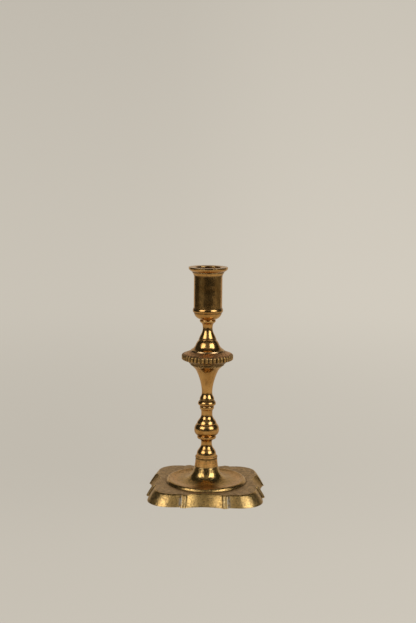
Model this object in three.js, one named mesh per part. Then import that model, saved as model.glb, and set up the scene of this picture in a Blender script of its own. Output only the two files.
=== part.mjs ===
// A brass candlestick, 200 mm tall: turned pieces stacked on a lobed cast foot and clamped by a tie rod.
// Millimetres, +Z up. The origin is the middle of the foot, on the surface that it stands on.
import * as THREE from "three";

// ---- driving dimensions ----

// Heights of the stacked pieces, from the foot up.
const FOOT_BOSS_TOP = 23;
const COLLAR_HEIGHT = 9.25;
const STEM_BELL_HEIGHT = 18.25;
const BALL_HEIGHT = 10.5;
const WAIST_HEIGHT = 16.25;
const TRUMPET_HEIGHT = 36.5;
const PAN_HEIGHT = 13.5;
const SHOULDER_HEIGHT = 8.5;
const NECK_HEIGHT = 18.5;
const CUP_HEIGHT = 45.75;

// Foot: four corner lobes and four middle sections, all on a sloping skirt. A middle section is hollow
// between two tips, and outside each tip a narrow land ends in a notch where the lobe begins.
const FOOT_HALF_WIDTH = 52.1; // to the tips, at the bottom
const SKIRT_HEIGHT = 9.9;
const SKIRT_FLARE = 6.1; // how far the bottom edge stands out past the top edge
const HOLLOW_HALF_TOP = 15.3; // half the width of a hollow
const HOLLOW_HALF_BOTTOM = 15.9;
const HOLLOW_DEPTH_TOP = 5.4; // from the tips back to the middle of the hollow
const HOLLOW_DEPTH_BOTTOM = 3.6;
const TIP_STEP = 0.8; // from the ends of the hollow out to the tips
const TIP_SLOPE = 0.35; // along the foot, over that step
const TIP_WIDTH = 1.4;
const LAND_WIDTH = 2.6;
const LAND_DROP = 0.7;
const NOTCH_WIDTH = 0.5;
const NOTCH_DEPTH = 2.6;
const LOBE_SETBACK = 2; // from the tips back to the face of a lobe
const CORNER_RADIUS_TOP = 16.5;
const CORNER_RADIUS_BOTTOM = 20;
const FOOT_WALL = 3;
const LEDGE_WIDTH = 4.7; // of the flat top between a hollow and the raised round step
const STEP_HEIGHT = 1.9;
const DISH_DEPTH = 1.1;
const DISH_WIDTH = 15; // from the edge of the step in to the foot of the flare
const BOSS_RADIUS = 10.3;
const NUT_SEAT_RADIUS = 7;
const BOSS_THICKNESS = 9; // of metal between the nut's seat and the collar

// Radii of the mouldings.
const COLLAR_RADIUS = 10.2;
const COLLAR_TAPER = 0.5;
const COLLAR_LIP_HEIGHT = 1.8;
const BELL_BASE_RADIUS = 8.6;
const LOWER_NECK_RADIUS = 4.8;
const BALL_FILLET_RADIUS = 8.4;
const BALL_RADIUS = 11;
const BALL_TOP_RADIUS = 9.1;
const WAIST_NECK_RADIUS = 4.92;
const WAIST_TOP_RADIUS = 6.35;
const RING_RADIUS = 7.9;
const TRUMPET_NECK_RADIUS = 4.65;
const TRUMPET_TOP_RADIUS = 13.5;
const PAN_RADIUS = 22.6;
const PAN_STEP_RADIUS = 16.3;
const PAN_TOP_RADIUS = 15.3;
const PAN_BAND_BASE = 5.6; // the upright fluted band, above the underside of the pan
const PAN_BAND_TOP = 8.6;
const SHOULDER_RADIUS = 15;
const SHOULDER_DOME_WIDTH = 7.5; // from its edge in to the foot of the upper neck
const UPPER_NECK_RADIUS = 4.32;
const CUP_SEAT_RADIUS = 6.9;

// Flutes round the edge of the drip pan.
const FLUTES = 40;
const FLUTE_DEPTH = 0.8;

// Candle socket.
const CANDLE_BORE_RADIUS = 11.1;
const SOCKET_WALL = 1.3;
const SOCKET_FLOOR = 8; // above the underside of the cup
const BEAD_BASE = 6.4; // above the underside of the cup
const BEAD_HEIGHT = 3.8;
const BEAD_PROUD = 0.75; // of the outside of the socket
const LIP_HEIGHT = 4.7; // from the step under the lip to the rim
const COVE_HEIGHT = 4.7; // of the hollow between the socket and that step
const COVE_REACH = 1.4;
const RIM_OVERHANG = 4.7; // past the outside of the socket
const RIM_THICKNESS = 1.15;

// Tie rod, nut and washers.
const ROD_RADIUS = 2.5;
const ROD_CLEARANCE = 0.2; // in the pieces that it passes through
const THREAD_CLEARANCE = 0.15; // in the cup and the nut, whose threads are left plain
const ROD_IN_CUP = 5.6;
const ROD_END_BELOW_NUT = 2;
const WASHER_RADIUS = 5.6;
const WASHER_THICKNESS = 1;
const SPRING_RADIUS = 4.4;
const SPRING_THICKNESS = 1.3;
const SPRING_SLIT = 0.35; // radians
const NUT_ACROSS_FLATS = 8;
const NUT_HEIGHT = 4;

// Spigots that centre each piece on the one below.
const SPIGOT_HEIGHT = 2.2;
const FOOT_SPIGOT = 6;
const COLLAR_SPIGOT = 6;
const BELL_SPIGOT = 5.2;
const BALL_SPIGOT = 5;
const WAIST_SPIGOT = 4.3;
const TRUMPET_SPIGOT = 6;
const PAN_SPIGOT = 7;
const SHOULDER_SPIGOT = 4.7;
const NECK_SPIGOT = 4.3;

// The fillet that ends each neck, and the easing of edges.
const FILLET_HEIGHT = 2.3;
const EDGE_EASE = 0.4;

// Clearances.
const SPIGOT_SIDE = 0.15;
const SPIGOT_END = 0.3;
const SEAT_GAP = 0.05;

// Mesh fineness.
const ROUND = 24;
const CUP_ROUND = 32;
const CURVE_STEPS = 3;

// ---- places worked out from the dimensions ----

const ROD_HOLE = ROD_RADIUS + ROD_CLEARANCE;
const RECESS_DEPTH = SPIGOT_HEIGHT + SPIGOT_END;
const SOCKET_OUTER = CANDLE_BORE_RADIUS + SOCKET_WALL;
const BEAD_RADIUS = SOCKET_OUTER + BEAD_PROUD;
const RIM_RADIUS = SOCKET_OUTER + RIM_OVERHANG;
const FOOT_TOP_HALF_WIDTH = FOOT_HALF_WIDTH - SKIRT_FLARE;
const STEP_RADIUS = FOOT_TOP_HALF_WIDTH - HOLLOW_DEPTH_TOP - LEDGE_WIDTH;
const NECK_BASE_RADIUS = SHOULDER_RADIUS - SHOULDER_DOME_WIDTH;
const NUT_SEAT = FOOT_BOSS_TOP - BOSS_THICKNESS;

// ---- materials ----

function brass(color, roughness) {
  return new THREE.MeshStandardMaterial({ color, roughness, metalness: 1 });
}

const polishedBrass = brass(0xa9792f, 0.28);
const castBrass = brass(0x9c7434, 0.42);
const roughBrass = brass(0x9a6a2c, 0.62);
const steel = new THREE.MeshStandardMaterial({ color: 0x8c8b88, roughness: 0.45, metalness: 1 });

// ---- geometry helpers ----

// Turns a closed outline, drawn as radius and height, round the Z axis.
function turned(outline, segments = ROUND) {
  const geometry = new THREE.LatheGeometry(outline.getPoints(CURVE_STEPS), segments);
  return geometry.rotateX(Math.PI / 2);
}

// The outline of a piece threaded on the tie rod: a recess in its base, the moulding, a spigot on its top.
function stackedOutline(height, recess, spigot, moulding) {
  const outline = new THREE.Path();
  const top = height - SEAT_GAP;
  outline.moveTo(ROD_HOLE, RECESS_DEPTH);
  outline.lineTo(recess + SPIGOT_SIDE, RECESS_DEPTH);
  outline.lineTo(recess + SPIGOT_SIDE, 0);
  moulding(outline, top);
  outline.lineTo(spigot, top);
  outline.lineTo(spigot, top + SPIGOT_HEIGHT);
  outline.lineTo(ROD_HOLE, top + SPIGOT_HEIGHT);
  outline.lineTo(ROD_HOLE, RECESS_DEPTH);
  return outline;
}

// Joins a closed series of rings, each of the same number of [x, y, z] points, into one solid.
function loft(rings) {
  const around = rings[0].length;
  const index = [];
  rings.forEach((ring, i) => {
    const start = i * around;
    const next = ((i + 1) % rings.length) * around;
    for (let j = 0; j < around; j += 1) {
      const k = (j + 1) % around;
      index.push(start + j, start + k, next + k);
      index.push(start + j, next + k, next + j);
    }
  });
  const geometry = new THREE.BufferGeometry();
  geometry.setAttribute("position", new THREE.Float32BufferAttribute(rings.flat(2), 3));
  geometry.setIndex(index);
  geometry.computeVertexNormals();
  return geometry;
}

// The round-edged fillet that ends a neck, just below the next piece.
function filletTo(path, radius, top) {
  path.lineTo(radius - EDGE_EASE, top - FILLET_HEIGHT);
  path.lineTo(radius, top - FILLET_HEIGHT + EDGE_EASE);
  path.lineTo(radius, top - EDGE_EASE);
  path.lineTo(radius - EDGE_EASE, top);
}

function mesh(name, geometry, material, base) {
  const made = new THREE.Mesh(geometry, material);
  made.name = name;
  made.position.z = base;
  return made;
}

// ---- foot ----

// Half of one side of the foot, from its middle to the corner, as [along, outward] points.
function halfSide(width, hollow, depth, corner) {
  const tip = hollow + TIP_SLOPE;
  const land = tip + TIP_WIDTH;
  const notch = land + LAND_WIDTH + NOTCH_WIDTH;
  const lobe = width - LOBE_SETBACK;
  const centre = lobe - corner;
  const points = [];
  for (const share of [0, 0.4, 0.75, 1]) {
    points.push([hollow * share, width - TIP_STEP - (depth - TIP_STEP) * (1 - share ** 2)]);
  }
  points.push([tip, width]);
  points.push([land, width]);
  points.push([notch - NOTCH_WIDTH, width - LAND_DROP]);
  points.push([notch, width - NOTCH_DEPTH]);
  points.push([(notch + centre) / 2, lobe - (NOTCH_DEPTH - LOBE_SETBACK) / 4]);
  for (const turn of [0, 0.08, 0.165, 0.25]) {
    const angle = Math.PI * (0.5 - turn);
    points.push([centre + corner * Math.cos(angle), centre + corner * Math.sin(angle)]);
  }
  return points;
}

// The whole outline, anticlockwise from above, starting at the middle of the +X side.
function lobedOutline(width, hollow, depth, corner) {
  const half = halfSide(width, hollow, depth, corner);
  const mirrored = half.slice(1, -1).reverse();
  const outline = [];
  for (let side = 0; side < 4; side += 1) {
    const turn = (side * Math.PI) / 2;
    const place = (out, along) => [
      out * Math.cos(turn) - along * Math.sin(turn),
      out * Math.sin(turn) + along * Math.cos(turn),
    ];
    half.forEach(([along, out]) => outline.push(place(out, along)));
    mirrored.forEach(([along, out]) => outline.push(place(along, out)));
  }
  return outline;
}

function footGeometry() {
  const topWidth = FOOT_TOP_HALF_WIDTH;
  const bottomWidth = FOOT_HALF_WIDTH;
  const bottomHollow = [HOLLOW_HALF_BOTTOM, HOLLOW_DEPTH_BOTTOM];
  const topHollow = [HOLLOW_HALF_TOP, HOLLOW_DEPTH_TOP];
  const bottomOutline = lobedOutline(bottomWidth, ...bottomHollow, CORNER_RADIUS_BOTTOM);
  const topOutline = lobedOutline(topWidth, ...topHollow, CORNER_RADIUS_TOP);
  const angles = topOutline.map(([x, y]) => Math.atan2(y, x));

  const lobed = (outline, width, inset, z) => {
    const scale = (width - inset) / width;
    return outline.map(([x, y]) => [x * scale, y * scale, z]);
  };
  const circle = (radius, z) => angles.map((a) => [radius * Math.cos(a), radius * Math.sin(a), z]);

  const stepTop = SKIRT_HEIGHT + STEP_HEIGHT;
  const dishFloor = stepTop - DISH_DEPTH;
  const bossTop = FOOT_BOSS_TOP - SEAT_GAP;
  const ceiling = SKIRT_HEIGHT - FOOT_WALL;

  // The flare from the dish up to the boss, as a quarter of an ellipse.
  const flareRadius = STEP_RADIUS - DISH_WIDTH;
  const flare = [];
  for (const turn of [0.08, 0.24, 0.4, 0.56, 0.74, 0.9]) {
    const angle = (turn * Math.PI) / 2;
    const radius = flareRadius - (flareRadius - BOSS_RADIUS) * Math.sin(angle);
    flare.push(circle(radius, dishFloor + (bossTop - 1 - dishFloor) * (1 - Math.cos(angle))));
  }

  return loft([
    lobed(bottomOutline, bottomWidth, 0.4, 0),
    lobed(bottomOutline, bottomWidth, 0, 0.5),
    lobed(topOutline, topWidth, 0, SKIRT_HEIGHT - 0.8),
    lobed(topOutline, topWidth, 1, SKIRT_HEIGHT),
    circle(STEP_RADIUS, SKIRT_HEIGHT - 0.1),
    circle(STEP_RADIUS - 0.1, SKIRT_HEIGHT + 0.6 * STEP_HEIGHT),
    circle(STEP_RADIUS - 1, stepTop),
    circle(STEP_RADIUS - 3, stepTop - 0.2),
    circle(STEP_RADIUS - 8, dishFloor),
    ...flare,
    circle(BOSS_RADIUS, bossTop - 1),
    circle(BOSS_RADIUS, bossTop),
    circle(FOOT_SPIGOT, bossTop),
    circle(FOOT_SPIGOT, bossTop + SPIGOT_HEIGHT),
    circle(ROD_HOLE, bossTop + SPIGOT_HEIGHT),
    circle(ROD_HOLE, NUT_SEAT),
    circle(NUT_SEAT_RADIUS, NUT_SEAT),
    circle(NUT_SEAT_RADIUS + 2, NUT_SEAT - 2),
    circle(NUT_SEAT_RADIUS + 8, ceiling + 1),
    circle(STEP_RADIUS - 4, ceiling + 0.4),
    lobed(topOutline, topWidth, FOOT_WALL, ceiling - 0.6),
    lobed(bottomOutline, bottomWidth, FOOT_WALL, 0),
  ]);
}

// ---- stem pieces ----

function collarGeometry() {
  const outline = stackedOutline(COLLAR_HEIGHT, FOOT_SPIGOT, COLLAR_SPIGOT, (path, top) => {
    path.lineTo(COLLAR_RADIUS, 0);
    path.lineTo(COLLAR_RADIUS, 1);
    const waist = COLLAR_RADIUS - COLLAR_TAPER;
    const lip = top - COLLAR_LIP_HEIGHT;
    path.quadraticCurveTo(waist, 3, waist, lip);
    path.lineTo(waist - 0.2, lip + 0.1);
    path.lineTo(COLLAR_RADIUS - EDGE_EASE, lip + EDGE_EASE);
    path.quadraticCurveTo(COLLAR_RADIUS - EDGE_EASE, top - EDGE_EASE, COLLAR_RADIUS - 2 * EDGE_EASE, top);
  });
  return turned(outline);
}

function stemBellGeometry() {
  const outline = stackedOutline(STEM_BELL_HEIGHT, COLLAR_SPIGOT, BELL_SPIGOT, (path, top) => {
    const neck = 0.65 * top;
    path.lineTo(BELL_BASE_RADIUS, 0);
    path.quadraticCurveTo(BELL_BASE_RADIUS - 0.3, 3.4, BELL_BASE_RADIUS - 1.8, 0.34 * top);
    path.quadraticCurveTo(LOWER_NECK_RADIUS, 0.46 * top, LOWER_NECK_RADIUS, neck);
    path.quadraticCurveTo(LOWER_NECK_RADIUS, top - 4, BALL_FILLET_RADIUS - 1.8, top - 2.9);
    filletTo(path, BALL_FILLET_RADIUS, top);
  });
  return turned(outline);
}

function ballGeometry() {
  const outline = stackedOutline(BALL_HEIGHT, BELL_SPIGOT, BALL_SPIGOT, (path, top) => {
    path.lineTo(BALL_FILLET_RADIUS - 0.2, 0);
    path.quadraticCurveTo(BALL_RADIUS, 2, BALL_RADIUS, 0.48 * top);
    path.quadraticCurveTo(BALL_RADIUS, 0.82 * top, BALL_TOP_RADIUS, top);
  });
  return turned(outline);
}

function waistGeometry() {
  const outline = stackedOutline(WAIST_HEIGHT, BALL_SPIGOT, WAIST_SPIGOT, (path, top) => {
    path.lineTo(BALL_TOP_RADIUS - 0.4, 0);
    path.lineTo(BALL_TOP_RADIUS - 0.8, 2);
    path.quadraticCurveTo(WAIST_NECK_RADIUS + 0.4, 4.4, WAIST_NECK_RADIUS, 0.53 * top);
    path.lineTo(WAIST_NECK_RADIUS, 0.68 * top);
    path.quadraticCurveTo(WAIST_NECK_RADIUS, top - 3.4, WAIST_TOP_RADIUS - 0.6, top - 2.7);
    filletTo(path, WAIST_TOP_RADIUS, top);
  });
  return turned(outline);
}

function trumpetGeometry() {
  const outline = stackedOutline(TRUMPET_HEIGHT, WAIST_SPIGOT, TRUMPET_SPIGOT, (path, top) => {
    const neck = 0.34 * top;
    path.lineTo(RING_RADIUS - 1, 0);
    path.quadraticCurveTo(RING_RADIUS, 0.4, RING_RADIUS, 1.9);
    path.quadraticCurveTo(RING_RADIUS - 0.1, 3.4, RING_RADIUS - 1.4, 4.6);
    path.lineTo(RING_RADIUS - 1.6, 6.2);
    path.quadraticCurveTo(TRUMPET_NECK_RADIUS, 9, TRUMPET_NECK_RADIUS, neck);
    path.quadraticCurveTo(TRUMPET_NECK_RADIUS, 0.56 * top, 0.56 * TRUMPET_TOP_RADIUS, 0.74 * top);
    path.quadraticCurveTo(0.72 * TRUMPET_TOP_RADIUS, 0.88 * top, TRUMPET_TOP_RADIUS, top);
  });
  return turned(outline);
}

function panGeometry() {
  const top = PAN_HEIGHT - SEAT_GAP;
  const around = 2 * FLUTES;
  const circle = (radius, z, fluting = 0) => {
    const ring = [];
    for (let i = 0; i < around; i += 1) {
      const angle = (i * 2 * Math.PI) / around;
      const r = radius - (i % 2) * fluting * FLUTE_DEPTH;
      ring.push([r * Math.cos(angle), r * Math.sin(angle), z]);
    }
    return ring;
  };
  return loft([
    circle(TRUMPET_SPIGOT + SPIGOT_SIDE, 0),
    circle(TRUMPET_TOP_RADIUS + 0.8, 0),
    circle(TRUMPET_TOP_RADIUS + 1.1, 1.3),
    circle(PAN_STEP_RADIUS - 0.8, 1.7),
    circle(PAN_STEP_RADIUS, 2.7),
    circle(PAN_RADIUS - 2, PAN_BAND_BASE - 1.6),
    circle(PAN_RADIUS, PAN_BAND_BASE, 1),
    circle(PAN_RADIUS, PAN_BAND_TOP, 1),
    circle(PAN_RADIUS - 1.4, PAN_BAND_TOP + 1.6, 0.6),
    circle(PAN_RADIUS - 3.2, top - 2.2),
    circle(PAN_TOP_RADIUS, top - 0.5),
    circle(PAN_TOP_RADIUS - 0.2, top),
    circle(PAN_SPIGOT, top),
    circle(PAN_SPIGOT, top + SPIGOT_HEIGHT),
    circle(ROD_HOLE, top + SPIGOT_HEIGHT),
    circle(ROD_HOLE, RECESS_DEPTH),
    circle(TRUMPET_SPIGOT + SPIGOT_SIDE, RECESS_DEPTH),
  ]);
}

function shoulderGeometry() {
  const outline = stackedOutline(SHOULDER_HEIGHT, PAN_SPIGOT, SHOULDER_SPIGOT, (path, top) => {
    path.lineTo(SHOULDER_RADIUS, 0);
    path.lineTo(SHOULDER_RADIUS, 0.4);
    path.quadraticCurveTo(SHOULDER_RADIUS - 3.4, 0.22 * top, SHOULDER_RADIUS - 4.6, 0.5 * top);
    path.quadraticCurveTo(SHOULDER_RADIUS - 5.6, 0.75 * top, NECK_BASE_RADIUS + 0.3, top);
  });
  return turned(outline);
}

function neckGeometry() {
  const outline = stackedOutline(NECK_HEIGHT, SHOULDER_SPIGOT, NECK_SPIGOT, (path, top) => {
    path.lineTo(NECK_BASE_RADIUS, 0);
    path.lineTo(NECK_BASE_RADIUS, 1.2);
    path.quadraticCurveTo(NECK_BASE_RADIUS - 0.2, 3.3, NECK_BASE_RADIUS - 1.2, 0.24 * top);
    path.quadraticCurveTo(UPPER_NECK_RADIUS, 0.36 * top, UPPER_NECK_RADIUS, 0.56 * top);
    path.quadraticCurveTo(UPPER_NECK_RADIUS, top - 4.4, CUP_SEAT_RADIUS - 1.3, top - 2.9);
    filletTo(path, CUP_SEAT_RADIUS, top);
  });
  return turned(outline);
}

// The cup's outline starts and ends on the axis: a blind hole for the rod below, the candle socket above.
function cupGeometry() {
  const top = CUP_HEIGHT;
  const rodHole = ROD_RADIUS + THREAD_CLEARANCE;
  const bore = CANDLE_BORE_RADIUS;
  const beadTop = BEAD_BASE + BEAD_HEIGHT;
  const beadMiddle = BEAD_BASE + 0.45 * BEAD_HEIGHT;
  const coveRadius = SOCKET_OUTER + COVE_REACH;
  const stepUnderLip = top - LIP_HEIGHT;
  const outline = new THREE.Path();
  outline.moveTo(0, ROD_IN_CUP + SPIGOT_END);
  outline.lineTo(rodHole, ROD_IN_CUP + SPIGOT_END);
  outline.lineTo(rodHole, RECESS_DEPTH);
  outline.lineTo(NECK_SPIGOT + SPIGOT_SIDE, RECESS_DEPTH);
  outline.lineTo(NECK_SPIGOT + SPIGOT_SIDE, 0);
  outline.lineTo(CUP_SEAT_RADIUS + 0.2, 0);
  outline.quadraticCurveTo(SOCKET_OUTER - 1, 2, SOCKET_OUTER - 0.2, 6.2);
  outline.lineTo(BEAD_RADIUS - EDGE_EASE, BEAD_BASE);
  outline.quadraticCurveTo(BEAD_RADIUS + EDGE_EASE, beadMiddle, BEAD_RADIUS - EDGE_EASE, beadTop - EDGE_EASE);
  outline.lineTo(SOCKET_OUTER, beadTop);
  outline.lineTo(SOCKET_OUTER, stepUnderLip - COVE_HEIGHT);
  outline.quadraticCurveTo(SOCKET_OUTER, stepUnderLip - 1.6, coveRadius, stepUnderLip - EDGE_EASE);
  outline.lineTo(coveRadius + EDGE_EASE, stepUnderLip);
  outline.quadraticCurveTo(RIM_RADIUS, top - 0.5 * LIP_HEIGHT, RIM_RADIUS, top - RIM_THICKNESS);
  outline.lineTo(RIM_RADIUS, top - EDGE_EASE);
  outline.lineTo(RIM_RADIUS - EDGE_EASE, top);
  outline.lineTo(bore + 0.7, top);
  outline.lineTo(bore, top - 0.7);
  outline.lineTo(bore, SOCKET_FLOOR);
  outline.lineTo(0, SOCKET_FLOOR);
  return turned(outline, CUP_ROUND);
}

// ---- tie rod and its fastenings ----

function rodGeometry(length) {
  const outline = new THREE.Path();
  const chamfer = 0.5;
  outline.moveTo(0, 0);
  outline.lineTo(ROD_RADIUS - chamfer, 0);
  outline.lineTo(ROD_RADIUS, chamfer);
  outline.lineTo(ROD_RADIUS, length - chamfer);
  outline.lineTo(ROD_RADIUS - chamfer, length);
  outline.lineTo(0, length);
  return turned(outline, 16);
}

function extruded(shape, thickness) {
  return new THREE.ExtrudeGeometry(shape, { depth: thickness, bevelEnabled: false, curveSegments: 12 });
}

function washerGeometry() {
  const shape = new THREE.Shape();
  shape.absarc(0, 0, WASHER_RADIUS, 0, 2 * Math.PI);
  const hole = new THREE.Path();
  hole.absarc(0, 0, ROD_HOLE, 0, 2 * Math.PI, true);
  shape.holes.push(hole);
  return extruded(shape, WASHER_THICKNESS);
}

function springWasherGeometry() {
  const start = SPRING_SLIT / 2;
  const end = 2 * Math.PI - SPRING_SLIT / 2;
  const shape = new THREE.Shape();
  shape.absarc(0, 0, SPRING_RADIUS, start, end, false);
  shape.absarc(0, 0, ROD_HOLE, end, start, true);
  shape.closePath();
  return extruded(shape, SPRING_THICKNESS);
}

function nutGeometry() {
  const corner = NUT_ACROSS_FLATS / 2 / Math.cos(Math.PI / 6);
  const corners = [];
  for (let i = 0; i < 6; i += 1) {
    const angle = (i * Math.PI) / 3;
    corners.push(new THREE.Vector2(corner * Math.cos(angle), corner * Math.sin(angle)));
  }
  const shape = new THREE.Shape(corners);
  const hole = new THREE.Path();
  hole.absarc(0, 0, ROD_RADIUS + THREAD_CLEARANCE, 0, 2 * Math.PI, true);
  shape.holes.push(hole);
  return extruded(shape, NUT_HEIGHT);
}

// ---- the candlestick ----

function candlestick() {
  const group = new THREE.Group();
  group.add(mesh("foot", footGeometry(), castBrass, 0));

  const stack = [
    ["foot_collar", collarGeometry(), roughBrass, COLLAR_HEIGHT],
    ["stem_bell", stemBellGeometry(), polishedBrass, STEM_BELL_HEIGHT],
    ["ball_knop", ballGeometry(), polishedBrass, BALL_HEIGHT],
    ["waist_stem", waistGeometry(), polishedBrass, WAIST_HEIGHT],
    ["trumpet_stem", trumpetGeometry(), polishedBrass, TRUMPET_HEIGHT],
    ["drip_pan", panGeometry(), castBrass, PAN_HEIGHT],
    ["shoulder_bell", shoulderGeometry(), polishedBrass, SHOULDER_HEIGHT],
    ["upper_neck", neckGeometry(), polishedBrass, NECK_HEIGHT],
    ["candle_cup", cupGeometry(), polishedBrass, CUP_HEIGHT],
  ];
  let base = FOOT_BOSS_TOP;
  let cupBase = base;
  for (const [name, geometry, material, height] of stack) {
    group.add(mesh(name, geometry, material, base));
    cupBase = base;
    base += height;
  }

  const washerBase = NUT_SEAT - SEAT_GAP - WASHER_THICKNESS;
  const springBase = washerBase - SEAT_GAP - SPRING_THICKNESS;
  const nutBase = springBase - SEAT_GAP - NUT_HEIGHT;
  const rodBase = nutBase - ROD_END_BELOW_NUT;
  group.add(mesh("foot_washer", washerGeometry(), steel, washerBase));
  group.add(mesh("spring_washer", springWasherGeometry(), steel, springBase));
  group.add(mesh("hex_nut", nutGeometry(), steel, nutBase));
  group.add(mesh("tie_rod", rodGeometry(cupBase + ROD_IN_CUP - rodBase), steel, rodBase));
  return group;
}

export default candlestick();
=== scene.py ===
import math

import bpy
import numpy as np
from mathutils import Euler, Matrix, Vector


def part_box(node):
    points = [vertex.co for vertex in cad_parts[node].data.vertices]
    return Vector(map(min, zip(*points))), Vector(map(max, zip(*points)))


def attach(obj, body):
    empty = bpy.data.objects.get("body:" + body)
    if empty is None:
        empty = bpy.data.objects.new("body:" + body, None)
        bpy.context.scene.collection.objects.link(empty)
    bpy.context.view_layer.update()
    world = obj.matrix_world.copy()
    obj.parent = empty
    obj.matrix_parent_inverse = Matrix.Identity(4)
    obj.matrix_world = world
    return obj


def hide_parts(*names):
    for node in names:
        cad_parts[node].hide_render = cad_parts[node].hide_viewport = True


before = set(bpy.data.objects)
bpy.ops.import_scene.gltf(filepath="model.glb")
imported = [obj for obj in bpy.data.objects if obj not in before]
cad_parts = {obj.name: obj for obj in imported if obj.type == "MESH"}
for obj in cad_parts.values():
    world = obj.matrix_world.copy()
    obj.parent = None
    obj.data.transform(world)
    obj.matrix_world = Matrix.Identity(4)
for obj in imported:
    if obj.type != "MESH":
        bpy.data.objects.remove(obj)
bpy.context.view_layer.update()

MM = 0.001
BODY = "root"


# ---------------------------------------------------------------- outlines

SAME_POINT = 1e-6
SHARP_TURN = 0.2  # radians: a corner that turns more than this is rounded
CORNER_SHARE = 0.42  # of its shorter side, the most that a rounded corner takes
CORNER_STEPS = 4
FULL_TURN = 1.2  # radians: a corner that turns this much is fully worn, or fully grimy
WEAR_REACH = 0.35  # mm along the outline, over which wear fades from an edge
GRIME_REACH = 0.55  # mm along the outline, over which dirt fades from a corner


class Moulding:
    """A turner's outline of radius and height in millimetres, drawn up the outside of a piece."""

    def __init__(self, radius, height):
        self.points = [(radius, height)]

    def line(self, radius, height):
        self.points.append((radius, height))
        return self

    def bow(self, control, end, steps=14):
        """A curve from the last point to end, pulled towards control."""
        start = self.points[-1]
        for i in range(1, steps + 1):
            t = i / steps
            u = 1 - t
            self.points.append(
                tuple(u * u * a + 2 * t * u * c + t * t * b for a, c, b in zip(start, control, end))
            )
        return self

    def sweep(self, first, second, end, steps=20):
        """A curve from the last point to end, pulled towards first and then second."""
        start = self.points[-1]
        for i in range(1, steps + 1):
            t = i / steps
            u = 1 - t
            self.points.append(
                tuple(
                    u**3 * a + 3 * u * u * t * c + 3 * u * t * t * d + t**3 * b
                    for a, c, d, b in zip(start, first, second, end)
                )
            )
        return self


def soften(points, radius, closed):
    """Rounds every sharp corner of an outline, and returns the outline with each corner's turn."""
    made, turns = [], []
    count = len(points)
    for i, point in enumerate(points):
        here = np.array(point)
        if not closed and i in (0, count - 1):
            made.append(here)
            turns.append(0.0)
            continue
        before = np.array(points[i - 1]) - here
        after = np.array(points[(i + 1) % count]) - here
        lengths = np.linalg.norm(before), np.linalg.norm(after)
        if min(lengths) < SAME_POINT:
            continue
        before, after = before / lengths[0], after / lengths[1]
        turn = math.atan2(before[1] * after[0] - before[0] * after[1], -before @ after)
        if abs(turn) < SHARP_TURN:
            made.append(here)
            turns.append(0.0)
            continue
        cut = min(radius * math.tan(abs(turn) / 2), CORNER_SHARE * min(lengths))
        for j in range(CORNER_STEPS + 1):
            t = j / CORNER_STEPS
            made.append(here + (1 - t) ** 2 * cut * before + t * t * cut * after)
            turns.append(turn)
    return np.array(made), np.array(turns)


def refine(points, turns, longest, closed):
    """Splits every run of an outline that is longer than longest. The new points have no turn."""
    made, marks = [], []
    count = len(points)
    for i in range(count if closed else count - 1):
        a, b = points[i], points[(i + 1) % count]
        pieces = max(1, math.ceil(np.linalg.norm(b - a) / longest))
        for j in range(pieces):
            made.append(a + (b - a) * j / pieces)
            marks.append(turns[i] if j == 0 else 0.0)
    if not closed:
        made.append(points[-1])
        marks.append(turns[-1])
    return np.array(made), np.array(marks)


def edge_marks(points, turns, closed):
    """How worn and how grimy each point of an outline is: edges wear bright, corners hold dirt."""
    steps = np.linalg.norm(np.diff(points, axis=0), axis=1)
    along = np.concatenate([[0], np.cumsum(steps)])
    gap = np.abs(along[:, None] - along[None, :])
    if closed:
        around = along[-1] + np.linalg.norm(points[0] - points[-1])
        gap = np.minimum(gap, around - gap)
    worn = np.clip(turns, 0, FULL_TURN) / FULL_TURN
    held = np.clip(-turns, 0, FULL_TURN) / FULL_TURN
    wear = (worn[None, :] * np.exp(-gap / WEAR_REACH)).max(axis=1)
    grime_and_shade = (held[None, :] * np.exp(-gap / GRIME_REACH)).max(axis=1)
    return wear, grime_and_shade, along


# ---------------------------------------------------------------- meshes


def mesh_object(name, vertices, faces, marks=None):
    """A smooth mesh in the scene, with a value at every point for each of its marks."""
    mesh = bpy.data.meshes.new(name)
    mesh.from_pydata([tuple(v) for v in vertices], [], faces)
    mesh.validate()
    for label, values in (marks or {}).items():
        layer = mesh.attributes.new(label, "FLOAT", "POINT")
        layer.data.foreach_set("value", np.asarray(values, dtype=np.float32))
    mesh.shade_smooth()
    made = bpy.data.objects.new(name, mesh)
    bpy.context.scene.collection.objects.link(made)
    return made


def grid_faces(rows, around, closed_rows):
    """Quads between rings of points, and from the last ring back to the first on a closed section."""
    faces = []
    for i in range(rows if closed_rows else rows - 1):
        a, b = i * around, ((i + 1) % rows) * around
        for j in range(around):
            k = (j + 1) % around
            faces.append((a + j, a + k, b + k, b + j))
    return faces


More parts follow.
